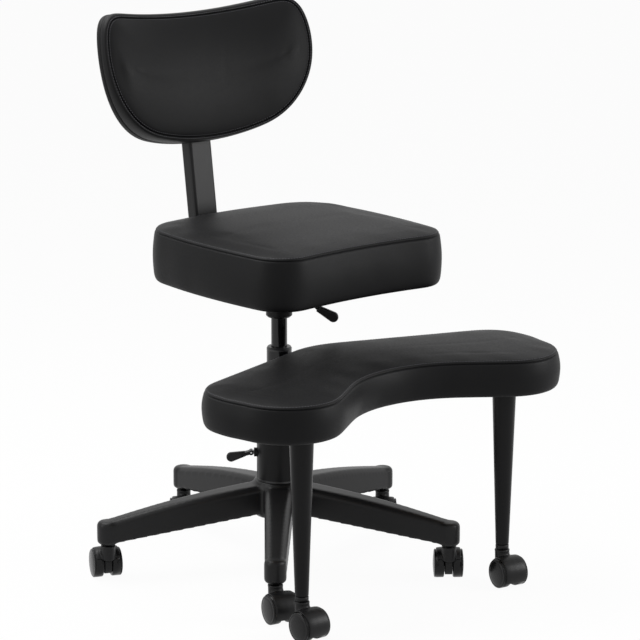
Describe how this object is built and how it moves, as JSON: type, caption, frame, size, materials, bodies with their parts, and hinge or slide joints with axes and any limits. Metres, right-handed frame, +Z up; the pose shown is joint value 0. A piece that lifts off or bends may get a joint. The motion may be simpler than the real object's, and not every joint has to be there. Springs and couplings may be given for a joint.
{
  "type": "cross-legged office chair",
  "caption": "Height-adjustable swivel task chair with a low curved backrest and a boomerang leg rest that swivels round the column on castored legs.",
  "frame": {"origin": "on the floor under the column's axis", "axes": "+Z up along the column, -Y the way the seat and the leg rest face at rest, +X to the sitter's left"},
  "size_m": [0.6904, 0.7442, 0.9754],
  "materials": {
    "pu_leather": "satin black polyurethane leathercloth over foam",
    "black_nylon": "fine moulded grain",
    "castor_nylon": "moulded semi-gloss",
    "black_powder_coat": "satin powder coat",
    "bare_steel": "bright",
    "zinc_fixings": "zinc plated",
    "bush_acetal": "moulded",
    "plywood": "raw",
    "dust_cloth": "non-woven"
  },
  "bodies": {
    "base": {"star_base": "black_nylon", "base_stems": "bare_steel", "base_sockets": "bare_steel", "column_tube": "black_powder_coat", "guide_bush": "bush_acetal", "swivel_washer": "bush_acetal"},
    "piston": {"piston_rod": "bare_steel", "thrust_bearing": "bare_steel", "retaining_clip": "bare_steel"},
    "seat": {"gas_cylinder": "black_powder_coat", "seat_plate": "black_powder_coat", "seat_socket": "black_powder_coat", "lever_pin": "bare_steel", "seat_dust_cover": "dust_cloth", "seat_board": "plywood", "seat_cushion": "pu_leather", "seat_bolts": "zinc_fixings", "seat_tee_nuts": "zinc_fixings", "back_bar": "black_powder_coat", "bar_bolts": "zinc_fixings", "bar_cover_front": "black_nylon", "bar_cover_rear": "black_nylon", "back_cushion": "pu_leather", "back_board": "plywood", "back_rear_pad": "pu_leather", "back_screws": "zinc_fixings"},
    "seat_lever": {"seat_lever_rod": "bare_steel", "seat_lever_paddle": "black_nylon"},
    "valve": {"valve_button": "bare_steel"},
    "leg_rest": {"swivel_sleeve": "black_powder_coat", "sleeve_bushes": "bush_acetal", "leg_rest_plate": "black_powder_coat", "leg_rest_board": "plywood", "leg_rest_cushion": "pu_leather", "leg_rest_bolts": "zinc_fixings", "leg_left": "black_powder_coat", "leg_right": "black_powder_coat", "leg_plates": "black_powder_coat", "leg_stems": "bare_steel", "leg_sockets": "bare_steel"},
    "plunger": {"lock_plunger": "bare_steel", "lock_pin": "bare_steel"},
    "lock_lever": {"lock_lever_rod": "bare_steel", "lock_lever_paddle": "black_nylon"},
    "castor_1": {"castor_hood_1": "black_nylon"},
    "wheels_1": {"castor_wheels_1": "castor_nylon"},
    "castor_2": {"castor_hood_2": "black_nylon"},
    "wheels_2": {"castor_wheels_2": "castor_nylon"},
    "castor_3": {"castor_hood_3": "black_nylon"},
    "wheels_3": {"castor_wheels_3": "castor_nylon"},
    "castor_4": {"castor_hood_4": "black_nylon"},
    "wheels_4": {"castor_wheels_4": "castor_nylon"},
    "castor_5": {"castor_hood_5": "black_nylon"},
    "wheels_5": {"castor_wheels_5": "castor_nylon"},
    "castor_6": {"castor_hood_6": "black_nylon"},
    "wheels_6": {"castor_wheels_6": "castor_nylon"},
    "castor_7": {"castor_hood_7": "black_nylon"},
    "wheels_7": {"castor_wheels_7": "castor_nylon"}
  },
  "joints": [
    {"name": "seat_swivel", "type": "hinge", "parent": "base", "child": "piston", "pos_m": [0, 0, 0.09], "axis": [0, 0, 1], "continuous": true},
    {"name": "seat_height", "type": "slide", "parent": "piston", "child": "seat", "axis": [0, 0, 1], "range_m": [0, 0.1]},
    {"name": "seat_lever", "type": "hinge", "parent": "seat", "child": "seat_lever", "pos_m": [0.03886, -0.03147, 0.5113], "axis": [-0.6293, -0.7771, 0], "range_deg": [0, 3.4], "stiffness_Nm_per_rad": 4, "springref_deg": -2.86},
    {"name": "valve_press", "type": "slide", "parent": "seat", "child": "valve", "axis": [0, 0, -1], "range_m": [0, 0.003]},
    {"name": "leg_rest_swivel", "type": "hinge", "parent": "base", "child": "leg_rest", "pos_m": [0, 0, 0.25], "axis": [0, 0, 1], "continuous": true},
    {"name": "lock_draw", "type": "slide", "parent": "leg_rest", "child": "plunger", "axis": [-0.7771, 0.6293, 0], "range_m": [0, 0.003]},
    {"name": "lock_lever", "type": "hinge", "parent": "plunger", "child": "lock_lever", "pos_m": [-0.0387, 0.03134, 0.204], "axis": [0.6293, 0.7771, 0], "range_deg": [0, 40], "stiffness_Nm_per_rad": 0.15, "springref_deg": -34.38},
    {"name": "castor_swivel_1", "type": "hinge", "parent": "base", "child": "castor_1", "pos_m": [0.30325, 0.07336, 0.05], "axis": [0, 0, 1], "continuous": true},
    {"name": "wheel_spin_1", "type": "hinge", "parent": "castor_1", "child": "wheels_1", "pos_m": [0.29067, 0.05782, 0.025], "axis": [0.7771, -0.6293, 0], "continuous": true},
    {"name": "castor_swivel_2", "type": "hinge", "parent": "base", "child": "castor_2", "pos_m": [0.02394, 0.31108, 0.05], "axis": [0, 0, 1], "continuous": true},
    {"name": "wheel_spin_2", "type": "hinge", "parent": "castor_2", "child": "wheels_2", "pos_m": [0.01135, 0.29554, 0.025], "axis": [0.7771, -0.6293, 0], "continuous": true},
    {"name": "castor_swivel_3", "type": "hinge", "parent": "base", "child": "castor_3", "pos_m": [-0.28846, 0.11889, 0.05], "axis": [0, 0, 1], "continuous": true},
    {"name": "wheel_spin_3", "type": "hinge", "parent": "castor_3", "child": "wheels_3", "pos_m": [-0.28064, 0.1373, 0.025], "axis": [-0.9205, 0.3907, 0], "continuous": true},
    {"name": "castor_swivel_4", "type": "hinge", "parent": "base", "child": "castor_4", "pos_m": [-0.20221, -0.2376, 0.05], "axis": [0, 0, 1], "continuous": true},
    {"name": "wheel_spin_4", "type": "hinge", "parent": "castor_4", "child": "wheels_4", "pos_m": [-0.20637, -0.25716, 0.025], "axis": [0.9781, -0.2079, 0], "continuous": true},
    {"name": "castor_swivel_5", "type": "hinge", "parent": "base", "child": "castor_5", "pos_m": [0.16348, -0.26574, 0.05], "axis": [0, 0, 1], "continuous": true},
    {"name": "wheel_spin_5", "type": "hinge", "parent": "castor_5", "child": "wheels_5", "pos_m": [0.17607, -0.2502, 0.025], "axis": [-0.7771, 0.6293, 0], "continuous": true},
    {"name": "castor_swivel_6", "type": "hinge", "parent": "leg_rest", "child": "castor_6", "pos_m": [-0.225, -0.335, 0.05], "axis": [0, 0, 1], "continuous": true},
    {"name": "wheel_spin_6", "type": "hinge", "parent": "castor_6", "child": "wheels_6", "pos_m": [-0.225, -0.355, 0.025], "axis": [1, 0, 0], "continuous": true},
    {"name": "castor_swivel_7", "type": "hinge", "parent": "leg_rest", "child": "castor_7", "pos_m": [0.225, -0.335, 0.05], "axis": [0, 0, 1], "continuous": true},
    {"name": "wheel_spin_7", "type": "hinge", "parent": "castor_7", "child": "wheels_7", "pos_m": [0.22187, -0.35475, 0.025], "axis": [0.9877, -0.1564, 0], "continuous": true}
  ],
  "couplings": [
    {"joint": "valve_press", "follows": "seat_lever", "m_per_rad": 0.05},
    {"joint": "lock_draw", "follows": "lock_lever", "m_per_rad": 0.0042}
  ]
}
